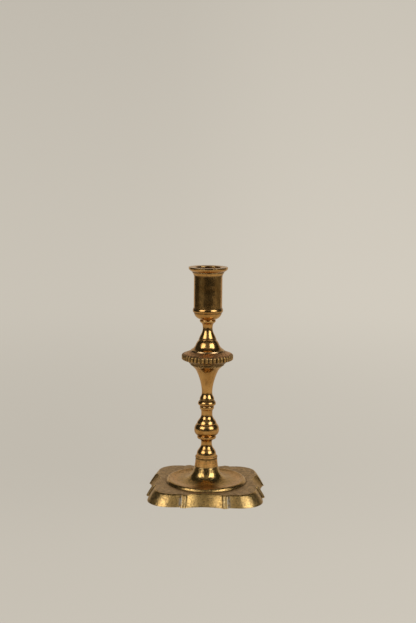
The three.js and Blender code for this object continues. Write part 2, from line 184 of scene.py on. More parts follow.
def turned(name, outline, base, segments=160, edge=0.18, longest=0.6, on_axis=False):
    """Turns an outline round the stem's axis. A closed one has a bore; one on the axis is capped there."""
    points, turns = soften(outline, edge, not on_axis)
    points, turns = refine(points, turns, longest, not on_axis)
    wear, grime_and_shade, along = edge_marks(points, turns, not on_axis)
    marks = {"wear": wear, "grime_and_shade": grime_and_shade, "along": along * MM}
    keep = slice(1, -1) if on_axis else slice(None)
    rings = points[keep]
    rows = len(rings)
    angles = 2 * np.pi * np.arange(segments) / segments
    radius = rings[:, 0:1]
    level = np.broadcast_to(rings[:, 1:2], (rows, segments))
    vertices = np.stack([radius * np.cos(angles), radius * np.sin(angles), level], axis=-1)
    vertices = vertices.reshape(-1, 3)
    faces = grid_faces(rows, segments, not on_axis)
    values = {label: np.repeat(value[keep], segments) for label, value in marks.items()}
    if on_axis:
        low, high = len(vertices), len(vertices) + 1
        vertices = np.vstack([vertices, [0, 0, points[0][1]], [0, 0, points[-1][1]]])
        last = (rows - 1) * segments
        for j in range(segments):
            k = (j + 1) % segments
            faces.append((low, k, j))
            faces.append((high, last + j, last + k))
        for label, value in marks.items():
            values[label] = np.append(values[label], [value[0], value[-1]])
    vertices = vertices * MM + np.array([0, 0, base])
    return mesh_object(name, vertices, faces, values)


class Place:
    """Where a CAD node stands: its base and top in metres, its height and radius in millimetres."""

    def __init__(self, node):
        low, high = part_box(node)
        self.base = low[2]
        self.top = high[2]
        self.height = (high[2] - low[2]) / MM
        self.radius = (high[0] - low[0]) / 2 / MM


ROD_HOLE = 2.7  # radius in mm, and so on for the sizes below
SPIGOT = 2.2  # height
RECESS = 2.5  # depth
SIDE_CLEARANCE = 0.15


def stacked(name, recess, spigot, draw, **options):
    """A piece threaded on the rod, with a recess and a spigot of those radii and a moulding between."""
    place = Place(name)
    top = place.height - SPIGOT
    pen = Moulding(ROD_HOLE, RECESS).line(recess + SIDE_CLEARANCE, RECESS).line(recess + SIDE_CLEARANCE, 0)
    draw(pen, top)
    pen.line(spigot, top).line(spigot, top + SPIGOT).line(ROD_HOLE, top + SPIGOT)
    return turned(name + "_turned", pen.points, place.base, **options)


# ---------------------------------------------------------------- node helpers


class Nodes:
    """Short calls for building a node tree."""

    def __init__(self, tree):
        self.tree = tree

    def add(self, kind, **settings):
        node = self.tree.nodes.new(kind)
        for key, value in settings.items():
            setattr(node, key, value)
        return node

    def feed(self, socket, value):
        """Links another node's output to a socket, or sets a plain value on it."""
        if isinstance(value, bpy.types.NodeSocket):
            self.tree.links.new(value, socket)
        elif value is not None:
            socket.default_value = value

    def math(self, operation, a, b=None, clamp=False):
        node = self.add("ShaderNodeMath", operation=operation, use_clamp=clamp)
        for socket, value in zip(node.inputs, (a, b)):
            self.feed(socket, value)
        return node.outputs[0]

    def times(self, a, b, clamp=False):
        return self.math("MULTIPLY", a, b, clamp=clamp)

    def attribute(self, label):
        return self.add("ShaderNodeAttribute", attribute_name=label).outputs["Fac"]

    def coordinates(self, scale=(1, 1, 1), turn=(0, 0, 0)):
        place = self.add("ShaderNodeTexCoord").outputs["Object"]
        mapping = self.add("ShaderNodeMapping")
        self.feed(mapping.inputs["Vector"], place)
        mapping.inputs["Rotation"].default_value = turn
        mapping.inputs["Scale"].default_value = scale
        return mapping.outputs[0]

    def noise(self, scale, detail=3.0, roughness=0.55, stretch=(1, 1, 1), turn=(0, 0, 0)):
        node = self.add("ShaderNodeTexNoise")
        self.feed(node.inputs["Vector"], self.coordinates(stretch, turn))
        node.inputs["Scale"].default_value = scale
        node.inputs["Detail"].default_value = detail
        node.inputs["Roughness"].default_value = roughness
        return node.outputs["Fac"]

    def ramp(self, value, low, high, start=0.0, end=1.0):
        """A smooth step of value from low to high, as start to end."""
        node = self.add("ShaderNodeMapRange", interpolation_type="SMOOTHSTEP")
        self.feed(node.inputs["Value"], value)
        for label, number in (("From Min", low), ("From Max", high), ("To Min", start), ("To Max", end)):
            node.inputs[label].default_value = number
        return node.outputs[0]

    def blend(self, share, first, second):
        """A colour that goes from first to second as share goes from 0 to 1."""
        node = self.add("ShaderNodeMix", data_type="RGBA")
        self.feed(node.inputs["Factor"], share)
        self.feed(node.inputs[6], first)
        self.feed(node.inputs[7], second)
        return node.outputs[2]

    def between(self, share, first, second):
        """A number that goes from first to second as share goes from 0 to 1."""
        node = self.add("ShaderNodeMix", data_type="FLOAT")
        self.feed(node.inputs["Factor"], share)
        self.feed(node.inputs[2], first)
        self.feed(node.inputs[3], second)
        return node.outputs[0]

    def specks(self, scale, size, share):
        """Small round spots, at random, on about that share of the cells."""
        node = self.add("ShaderNodeTexVoronoi")
        self.feed(node.inputs["Vector"], self.coordinates())
        node.inputs["Scale"].default_value = scale
        spot = self.ramp(node.outputs["Distance"], size * 0.5, size, 1.0, 0.0)
        split = self.add("ShaderNodeSeparateColor")
        self.feed(split.inputs[0], node.outputs["Color"])
        chosen = self.math("LESS_THAN", split.outputs[0], share)
        return self.times(spot, chosen)

    def bump(self, height, depth, under=None):
        """Raises the surface by height times depth, over the bump under it."""
        node = self.add("ShaderNodeBump")
        node.inputs["Strength"].default_value = 1.0
        node.inputs["Distance"].default_value = depth
        self.feed(node.inputs["Height"], height)
        self.feed(node.inputs["Normal"], under)
        return node.outputs[0]


def colour(red, green, blue):
    return (red, green, blue, 1.0)


def new_material(name):
    """An empty finish, with its node helper and its shader."""
    material = bpy.data.materials.new(name)
    material.use_nodes = True
    material.node_tree.nodes.clear()
    nodes = Nodes(material.node_tree)
    output = nodes.add("ShaderNodeOutputMaterial")
    shader = nodes.add("ShaderNodeBsdfPrincipled")
    nodes.feed(output.inputs["Surface"], shader.outputs[0])
    return material, nodes, shader


# ---------------------------------------------------------------- finishes


def polished_brass():
    """Turned and polished, then aged: dark gold with vertical stains, brown in the corners."""
    material, n, shader = new_material("polished_brass")
    gold = colour(0.65, 0.385, 0.135)
    honey = colour(0.53, 0.285, 0.085)
    brown = colour(0.17, 0.092, 0.03)
    bright = colour(0.82, 0.60, 0.29)
    darkening = colour(0.06, 0.034, 0.013)

    patches = n.ramp(n.noise(120, 4.0, 0.6), 0.38, 0.68)
    base = n.blend(patches, gold, honey)
    streaks = n.ramp(n.noise(420, 4.0, 0.6, stretch=(1, 1, 0.1)), 0.52, 0.74, 0.0, 0.5)
    base = n.blend(streaks, base, brown)
    spots = n.times(n.specks(900, 0.32, 0.3), 0.6)
    base = n.blend(spots, base, brown)
    wear = n.times(n.attribute("wear"), n.ramp(n.noise(500), 0.3, 0.6, 0.3, 0.85))
    base = n.blend(wear, base, bright)
    grime_and_shade = n.times(n.attribute("grime_and_shade"), n.ramp(n.noise(350), 0.25, 0.6, 0.6, 1.0))
    base = n.blend(grime_and_shade, base, darkening)
    n.feed(shader.inputs["Base Color"], base)

    tool_pitch, tool_depth = 0.35 * MM, 0.0012 * MM
    rough = n.ramp(n.noise(260, 5.0, 0.65), 0.3, 0.75, 0.15, 0.25)
    rough = n.math("ADD", rough, n.times(streaks, 0.1))
    rough = n.math("ADD", rough, n.times(grime_and_shade, 0.3), clamp=True)
    n.feed(shader.inputs["Roughness"], rough)
    shader.inputs["Metallic"].default_value = 1.0

    turning = n.math("SINE", n.times(n.attribute("along"), 2 * math.pi / tool_pitch))
    marks = n.bump(turning, tool_depth)
    dents = n.bump(n.noise(600, 3.0, 0.6), 0.03 * MM, marks)
    pits = n.bump(n.math("SUBTRACT", 1.0, spots), 0.02 * MM, dents)
    n.feed(shader.inputs["Normal"], pits)
    return material


def cast_brass():
    """Cast and hand-finished: dull and mottled on the flats, brighter and pitted where it was polished."""
    material, n, shader = new_material("cast_brass")
    gold = colour(0.66, 0.455, 0.215)
    dull = colour(0.43, 0.285, 0.135)
    brown = colour(0.19, 0.11, 0.045)
    honey = colour(0.61, 0.39, 0.128)
    bright = colour(0.84, 0.64, 0.33)
    copper = colour(0.95, 0.54, 0.25)
    darkening = colour(0.075, 0.045, 0.018)
    highlight_grey = colour(0.50, 0.465, 0.39)

    mottle = n.ramp(n.noise(230, 5.0, 0.7), 0.36, 0.64)
    base = n.blend(mottle, gold, dull)
    fine = n.ramp(n.noise(900, 3.0, 0.6), 0.5, 0.75, 0.0, 0.5)
    base = n.blend(fine, base, brown)
    shine = n.attribute("shine")
    rub = n.ramp(n.noise(240, 4.0), 0.3, 0.65, 0.75, 1.0)
    rubbed = n.times(n.times(shine, 3.0, clamp=True), rub)
    base = n.blend(rubbed, base, honey)
    stain = n.times(n.attribute("stain"), n.ramp(n.noise(90, 4.0, 0.6), 0.3, 0.6, 0.35, 0.9))
    base = n.blend(stain, base, copper)
    fine_pits = n.ramp(n.noise(750, 2.0, 0.5), 0.57, 0.66, 0.0, 0.6)
    spots = n.math("MAXIMUM", n.times(n.specks(750, 0.5, 0.5), 0.7), fine_pits)
    base = n.blend(spots, base, brown)
    lines = n.ramp(n.noise(1100, 2.0, 0.5, stretch=(0.16, 1, 1), turn=(0, 0.6, 0)), 0.64, 0.7)
    scratched = n.ramp(n.noise(60), 0.48, 0.58, 0.0, 2.5)
    lines = n.times(lines, n.times(scratched, shine), clamp=True)
    base = n.blend(lines, base, brown)
    wear = n.times(n.attribute("wear"), n.ramp(n.noise(400), 0.3, 0.6, 0.3, 0.8))
    base = n.blend(wear, base, bright)
    # This dark blend is dirt in the corners, and also painted shade under the pan, on the foot's side
    # notches and along the foot of its round step.
    grime_and_shade = n.times(n.attribute("grime_and_shade"), n.ramp(n.noise(300), 0.25, 0.6, 0.6, 1.0))
    base = n.blend(grime_and_shade, base, darkening)
    # Painted highlight: a pale grey, less metallic and rougher, on the foot's front and back notches.
    painted_highlight = n.times(n.attribute("painted_highlight"), n.ramp(n.noise(260, 3.0, 0.6), 0.46, 0.58))
    base = n.blend(painted_highlight, base, highlight_grey)
    n.feed(shader.inputs["Base Color"], base)

    grain = n.noise(330, 5.0, 0.65)
    matt_rough = n.ramp(grain, 0.3, 0.75, 0.34, 0.52)
    shiny_rough = n.ramp(grain, 0.3, 0.75, 0.13, 0.24)
    rough = n.between(shine, matt_rough, shiny_rough)
    rough = n.math("ADD", rough, n.times(n.math("ADD", grime_and_shade, painted_highlight), 0.25), clamp=True)
    n.feed(shader.inputs["Roughness"], rough)
    n.feed(shader.inputs["Metallic"], n.math("SUBTRACT", 1.0, n.times(painted_highlight, 0.8)))

    matt = n.math("SUBTRACT", 1.15, shine)
    waves = n.bump(n.times(n.noise(400, 3.0, 0.5), matt), 0.2 * MM)
    grains = n.bump(n.times(n.noise(1100, 3.0, 0.6), matt), 0.07 * MM, waves)
    pits = n.bump(n.math("SUBTRACT", 1.0, spots), 0.05 * MM, grains)
    n.feed(shader.inputs["Normal"], pits)
    return material


def rough_brass():
    """Left rough: coarse grain, orange brown, dark in its pits."""
    material, n, shader = new_material("rough_brass")
    orange = colour(0.97, 0.58, 0.20)
    tawny = colour(0.70, 0.40, 0.13)
    pale = colour(0.80, 0.56, 0.25)
    pit_brown = colour(0.12, 0.065, 0.025)
    darkening = colour(0.07, 0.04, 0.015)

    base = n.blend(n.ramp(n.noise(300, 4.0, 0.6), 0.35, 0.65), orange, tawny)
    pits = n.math("MAXIMUM", n.specks(620, 0.42, 0.5), n.ramp(n.noise(1300, 2.0, 0.5), 0.6, 0.72))
    base = n.blend(n.times(pits, 0.8), base, pit_brown)
    base = n.blend(n.times(n.attribute("wear"), 0.6), base, pale)
    base = n.blend(n.attribute("grime_and_shade"), base, darkening)
    n.feed(shader.inputs["Base Color"], base)
    n.feed(shader.inputs["Roughness"], n.ramp(n.noise(800), 0.3, 0.7, 0.42, 0.64))
    shader.inputs["Metallic"].default_value = 1.0
    grain = n.bump(n.noise(1500, 3.0, 0.6), 0.12 * MM)
    holes = n.bump(n.math("SUBTRACT", 1.0, pits), 0.14 * MM, grain)
    n.feed(shader.inputs["Normal"], holes)
    return material


def plain_steel():
    """Plated steel, slightly dull, with a brown bloom in places."""
    material, n, shader = new_material("plain_steel")
    light = colour(0.56, 0.56, 0.54)
    dark = colour(0.44, 0.44, 0.43)
    rust = colour(0.20, 0.13, 0.08)

    bloom = n.ramp(n.noise(500, 4.0, 0.6), 0.55, 0.75, 0.0, 0.6)
    base = n.blend(n.ramp(n.noise(900), 0.3, 0.7), light, dark)
    n.feed(shader.inputs["Base Color"], n.blend(bloom, base, rust))
    n.feed(shader.inputs["Roughness"], n.ramp(n.noise(700), 0.3, 0.7, 0.32, 0.55))
    shader.inputs["Metallic"].default_value = 1.0
    n.feed(shader.inputs["Normal"], n.bump(n.noise(2200, 3.0), 0.01 * MM))
    return material


# ---------------------------------------------------------------- stem pieces


def draw_collar(pen, top):
    pen.line(10.2, 0).line(10.25, 1.0).bow((9.8, 3.2), (9.7, top - 2.2))
    pen.line(9.45, top - 2.0).line(9.5, top - 1.6).bow((10.0, top - 1.5), (9.95, top - 0.9), 8)
    pen.bow((9.85, top - 0.1), (9.1, top), 8)


def draw_stem_bell(pen, top):
    neck, neck_height = 4.8, 0.62 * top
    pen.line(8.7, 0).bow((8.75, 1.5), (8.35, 3.0)).sweep((7.6, 6.0), (4.85, 6.6), (neck, neck_height))
    pen.line(neck, neck_height + 0.8).sweep((4.85, top - 4.4), (5.6, top - 3.6), (6.9, top - 2.75))
    pen.line(8.0, top - 2.5).bow((8.55, top - 1.6), (8.35, top - 0.5), 10).line(7.8, top)


def draw_ball(pen, top):
    widest = 11.0
    pen.line(8.0, 0).line(8.5, 0.5).sweep((10.3, 1.6), (widest, 3.0), (widest, 5.0))
    pen.sweep((widest, 7.6), (10.3, 8.9), (9.35, top - 0.35)).line(9.0, top)


def draw_waist(pen, top):
    neck = 4.95
    pen.line(8.5, 0).bow((8.8, 0.5), (8.6, 1.0), 8).sweep((7.6, 4.2), (neck, 4.6), (neck, 9.0))
    pen.line(neck, 10.4).bow((5.0, 12.2), (5.75, top - 3.0)).line(6.05, top - 2.7)
    pen.bow((6.5, top - 1.6), (6.2, top - 0.5), 8).line(5.9, top)


def draw_trumpet(pen, top):
    ring, neck = 7.9, 4.65
    pen.line(6.3, 0).line(6.35, 0.45).bow((7.8, 0.8), (ring, 1.9), 10)
    pen.line(ring, 2.5).bow((7.7, 3.7), (6.9, 4.4), 10)
    pen.line(6.2, 4.65).line(6.15, 5.0).line(6.5, 5.2).bow((6.45, 6.2), (6.2, 7.2), 8)
    pen.sweep((5.8, 8.6), (neck, 9.2), (neck, 12.2)).sweep((neck, 18.0), (7.0, 26.0), (9.4, 31.0))
    pen.sweep((10.8, 33.6), (12.6, 35.0), (13.6, top - 0.4)).line(13.4, top)


def draw_shoulder(pen, top):
    foot = 14.4
    pen.line(foot, 0).line(foot, 0.1).sweep((12.7, 0.9), (11.5, 2.2), (10.7, 3.8))
    pen.sweep((10.0, 5.2), (9.5, 6.8), (8.4, top - 0.5)).line(8.1, top)


def draw_neck(pen, top):
    bead, neck = 7.8, 4.32
    pen.line(7.0, 0).line(7.05, 0.25).bow((bead, 0.4), (bead, 0.85), 8).bow((7.75, 1.3), (7.2, 1.4), 8)
    pen.line(7.1, 1.55).line(7.3, 1.75).sweep((7.2, 3.6), (neck, 6.6), (neck, 10.4))
    pen.line(neck, 11.0).sweep((4.35, 13.4), (4.9, 14.6), (5.9, top - 2.9))
    pen.line(6.6, top - 2.5).bow((7.25, top - 1.4), (6.85, top - 0.5), 10).line(6.4, top)


def make_cup():
    """The bowl, the bead, the straight socket and its lip, over a blind hole for the rod."""
    place = Place("candle_cup")
    top = place.height
    bore, wall = 11.1, 12.4
    floor = 8.0
    blind_hole, blind_end = 2.65, 5.9
    recess = 4.3 + SIDE_CLEARANCE
    pen = Moulding(0, blind_end).line(blind_hole, blind_end).line(blind_hole, RECESS)
    pen.line(recess, RECESS).line(recess, 0)
    pen.line(6.9, 0).sweep((9.2, 0.9), (11.4, 2.2), (12.1, 5.4)).line(12.15, 6.1)
    pen.line(12.75, 6.35).bow((13.5, 7.2), (13.15, 8.6), 10).bow((12.9, 9.6), (wall, 10.0), 8)
    pen.line(wall, top - 7.3).line(wall + 0.3, top - 7.1)
    pen.sweep((13.0, top - 6.2), (13.3, top - 5.6), (13.9, top - 4.7))
    pen.line(13.75, top - 4.3).line(14.3, top - 4.0)
    pen.sweep((15.2, top - 3.3), (16.6, top - 2.8), (17.05, top - 1.5))
    pen.bow((17.15, top - 0.9), (17.1, top - 0.3), 8).line(16.8, top)
    pen.line(12.3, top - 0.1).bow((11.4, top - 0.2), (bore, top - 1.0), 8)
    pen.line(bore, floor + 1.0).line(bore - 0.6, floor).line(0, floor)
    return turned("candle_cup_turned", pen.points, place.base, segments=192, on_axis=True)


# ---------------------------------------------------------------- geometry trees


class Tree:
    """A geometry tree with named sizes and a finish as its inputs."""

    def __init__(self, name, sizes):
        self.tree = bpy.data.node_groups.new(name, "GeometryNodeTree")
        face = self.tree.interface
        face.new_socket("Geometry", in_out="INPUT", socket_type="NodeSocketGeometry")
        for label in sizes:
            face.new_socket(label, in_out="INPUT", socket_type="NodeSocketFloat")
        face.new_socket("Finish", in_out="INPUT", socket_type="NodeSocketMaterial")
        face.new_socket("Geometry", in_out="OUTPUT", socket_type="NodeSocketGeometry")
        self.n = Nodes(self.tree)
        self.given = self.n.add("NodeGroupInput").outputs
        split = self.n.add("ShaderNodeSeparateXYZ")
        self.position = self.n.add("GeometryNodeInputPosition").outputs[0]
        self.n.feed(split.inputs[0], self.position)
        self.x, self.y, self.z = split.outputs
        times = self.n.times
        squares = self.n.math("ADD", times(self.x, self.x), times(self.y, self.y))
        self.radius = self.n.math("SQRT", squares)
        self.geometry = self.given["Geometry"]

    def draw_in(self, cut):
        """Moves the surface towards the axis."""
        n = self.n
        share = n.math("DIVIDE", n.times(cut, -1.0), self.radius)
        offset = n.add("ShaderNodeCombineXYZ")
        n.feed(offset.inputs[0], n.times(self.x, share))
        n.feed(offset.inputs[1], n.times(self.y, share))
        self.move(offset.outputs[0])

    def move(self, offset):
        moved = self.n.add("GeometryNodeSetPosition")
        self.n.feed(moved.inputs["Geometry"], self.geometry)
        self.n.feed(moved.inputs["Offset"], offset)
        self.geometry = moved.outputs[0]

    def read(self, label):
        node = self.n.add("GeometryNodeInputNamedAttribute", data_type="FLOAT")
        node.inputs["Name"].default_value = label
        return node.outputs[0]

    def store(self, label, value):
        node = self.n.add("GeometryNodeStoreNamedAttribute", data_type="FLOAT", domain="POINT")
        node.inputs["Name"].default_value = label
        self.n.feed(node.inputs["Geometry"], self.geometry)
        self.n.feed(node.inputs["Value"], value)
        self.geometry = node.outputs[0]

    def end(self):
        finish_tree(self.n, self.geometry, self.given["Finish"])
        return self.tree


def fluting_tree():
    """Cuts flutes into a turned edge, dirty at their bottoms, paints shade below a height, and marks a matt
    band between two heights.
    """
    sizes = ("Flutes", "Depth", "Edge Radius", "Band", "Shaded Below", "Matt From", "Matt To")
    made = Tree("fluted_edge", sizes)
    n, given = made.n, made.given
    reed_roundness, deepest_dirt, low_shade = 0.8, 1.8, 0.72
    low_shine, low_stain, full_stain = 0.4, 0.2, 1.0
    half_turns = n.times(n.math("ARCTAN2", made.y, made.x), n.times(given["Flutes"], 0.5))
    reed = n.math("ABSOLUTE", n.math("COSINE", half_turns))
    hollow = n.math("SUBTRACT", 1.0, n.math("POWER", reed, reed_roundness))
    inside = n.math("DIVIDE", n.math("SUBTRACT", given["Edge Radius"], made.radius), given["Band"])
    reach = n.math("SUBTRACT", 1.0, n.times(inside, inside), clamp=True)
    made.draw_in(n.times(n.times(hollow, reach), given["Depth"]))
    darkening = n.times(n.times(hollow, reach), deepest_dirt, clamp=True)
    # Painted shade: below the given height the pan's underside is darkened.
    under = n.times(n.math("LESS_THAN", made.z, given["Shaded Below"]), low_shade)
    made.store("grime_and_shade", n.math("MAXIMUM", made.read("grime_and_shade"), n.math("MAXIMUM", darkening, under)))
    low = n.times(n.math("LESS_THAN", made.z, given["Matt From"]), low_shine)
    made.store("shine", n.math("MAXIMUM", low, n.math("GREATER_THAN", made.z, given["Matt To"])))
    upper = n.math("GREATER_THAN", made.z, given["Matt From"])
    made.store("stain", n.between(upper, low_stain, full_stain))
    return made.end()


def thread_tree():
    """Cuts a thread into a rod below one height and above another."""
    made = Tree("threaded_ends", ("Pitch", "Depth", "Low End", "High End", "Core"))
    n, given = made.n, made.given
    turn = n.math("DIVIDE", n.math("ARCTAN2", made.y, made.x), 2 * math.pi)
    wave = n.math("FRACT", n.math("SUBTRACT", n.math("DIVIDE", made.z, given["Pitch"]), turn))
    flank = n.math("SUBTRACT", 1.0, n.math("ABSOLUTE", n.math("SUBTRACT", n.times(wave, 2.0), 1.0)))
    below = n.math("LESS_THAN", made.z, given["Low End"])
    above = n.math("GREATER_THAN", made.z, given["High End"])
    outside = n.math("GREATER_THAN", made.radius, given["Core"])
    threaded = n.times(n.math("MAXIMUM", below, above), outside)
    made.draw_in(n.times(n.times(flank, threaded), given["Depth"]))
    return made.end()


def casting_tree():
    """Sinks a surface unevenly, as sand leaves a casting, except below a height where it stays true."""
    made = Tree("uneven_casting", ("Size", "Depth", "True Below"))
    n, given = made.n, made.given
    noise = n.add("ShaderNodeTexNoise")
    n.feed(noise.inputs["Vector"], made.position)
    n.feed(noise.inputs["Scale"], n.math("DIVIDE", 1.0, given["Size"]))
    noise.inputs["Detail"].default_value = 2.0
    above = n.math("GREATER_THAN", made.z, given["True Below"])
    sink = n.times(n.times(noise.outputs["Fac"], above), n.times(given["Depth"], -1.0))
    along = n.add("ShaderNodeVectorMath", operation="SCALE")
    n.feed(along.inputs[0], n.add("GeometryNodeInputNormal").outputs[0])
    n.feed(along.inputs["Scale"], sink)
    made.move(along.outputs[0])
    return made.end()


def finish_tree(n, geometry, finish):
    """Ends a geometry tree: real geometry, in its finish."""
    real = n.add("GeometryNodeRealizeInstances")
    n.feed(real.inputs[0], geometry)
    dressed = n.add("GeometryNodeSetMaterial")
    n.feed(dressed.inputs["Geometry"], real.outputs[0])
    n.feed(dressed.inputs["Material"], finish)
    n.feed(n.add("NodeGroupOutput").inputs[0], dressed.outputs[0])


def apply_tree(piece, tree, values):
    """Runs a geometry tree on a piece and keeps the result as its plain mesh."""
    modifier = piece.modifiers.new(tree.name, "NODES")
    modifier.node_group = tree
    sockets = {s.name: s.identifier for s in tree.interface.items_tree if s.in_out == "INPUT"}
    for label, value in values.items():
        modifier[sockets[label]] = value
    bpy.context.view_layer.update()
    evaluated = piece.evaluated_get(bpy.context.evaluated_depsgraph_get())
    mesh = bpy.data.meshes.new_from_object(evaluated)
    piece.modifiers.remove(modifier)
    piece.data = mesh
    mesh.shade_smooth()


# ---------------------------------------------------------------- drip pan

PAN_RADIUS = 22.6


def draw_pan(pen, top):
    pen.line(14.3, 0).bow((14.9, 0.2), (14.9, 0.9), 8).line(14.75, 1.4).line(15.1, 1.7)
    pen.bow((16.3, 1.8), (16.4, 2.6), 8).line(16.6, 3.0).bow((17.6, 3.3), (19.3, 4.1))
    pen.sweep((21.5, 4.8), (PAN_RADIUS, 5.0), (PAN_RADIUS, 6.1), 16).line(PAN_RADIUS, 8.4)
    pen.sweep((PAN_RADIUS, 9.4), (21.8, 9.8), (20.5, 10.3), 16).bow((17.5, 11.3), (15.6, top - 1.15))
    pen.line(14.9, top - 0.9).line(14.6, top)


def make_pan(finish):
    pan = stacked("drip_pan", 6, 7, draw_pan, segments=400, longest=0.5)
    base = Place("drip_pan").base
    values = {"Flutes": 40.0, "Depth": 0.95 * MM, "Edge Radius": PAN_RADIUS * MM, "Band": 2.6 * MM}
    # Below this height the pan's underside gets painted shade.
    values.update({"Shaded Below": base + 4.2 * MM, "Matt From": base + 9.7 * MM})
    values.update({"Matt To": base + 12.3 * MM, "Finish": finish})
    apply_tree(pan, fluting_tree(), values)
    return pan


# ---------------------------------------------------------------- foot


def half_side(width, hollow, depth, corner):
    """Half of one side of the foot as dense [along, outward] points, with the same count at any size.

    From the middle: the hollow front, a small step out, the tip, a flat land, the notch, then the lobe.
    """
    eighth = math.pi / 4
    step, tip_width, land_width, notch_width = 0.35, 1.4, 2.6, 0.5
    tip = hollow + step
    land = tip + tip_width
    edge = land + land_width
    notch = edge + notch_width
    lobe = width - 2.0
    centre = lobe - corner
    points = []

    def run(count, shape):
        for t in np.linspace(0, 1, count, endpoint=False):
            points.append(shape(t))

    run(15, lambda t: (hollow * t, width - 0.8 - (depth - 0.8) * (1 - t * t)))
    run(3, lambda t: (hollow + step * t, width - 0.8 + 0.7 * t))
    run(5, lambda t: (tip + tip_width * t, width - 0.1 + 0.1 * math.sin(math.pi * t)))
    run(4, lambda t: (land + 0.3 * t, width - 0.1 - 0.3 * math.sin(math.pi * t / 2)))
    run(4, lambda t: (land + 0.3 + 2.3 * t, width - 0.4 - 0.3 * t))
    run(4, lambda t: (edge + notch_width * t, width - 0.7 - 1.9 * t))
    run(8, lambda t: (notch + (centre - notch) * t, lobe - 0.6 * (1 - t) ** 3))
    run(12, lambda t: (centre + corner * math.sin(eighth * t), centre + corner * math.cos(eighth * t)))
    diagonal = centre + corner * math.cos(eighth)
    points.append((diagonal, diagonal))
    return np.array(points)


def lobed_outline(*sizes):
    """The foot's whole outline from above, anticlockwise from the middle of the +X side, eased."""
    half = half_side(*sizes)
    side = np.vstack([half[:, ::-1], half[1:-1][::-1]])
    sides = []
    for i in range(4):
        c, s = round(math.cos(i * math.pi / 2)), round(math.sin(i * math.pi / 2))
        sides.append(np.column_stack([side[:, 0] * c - side[:, 1] * s, side[:, 0] * s + side[:, 1] * c]))
    outline = np.vstack(sides)
    return (np.roll(outline, 1, 0) + 4 * outline + np.roll(outline, -1, 0)) / 6


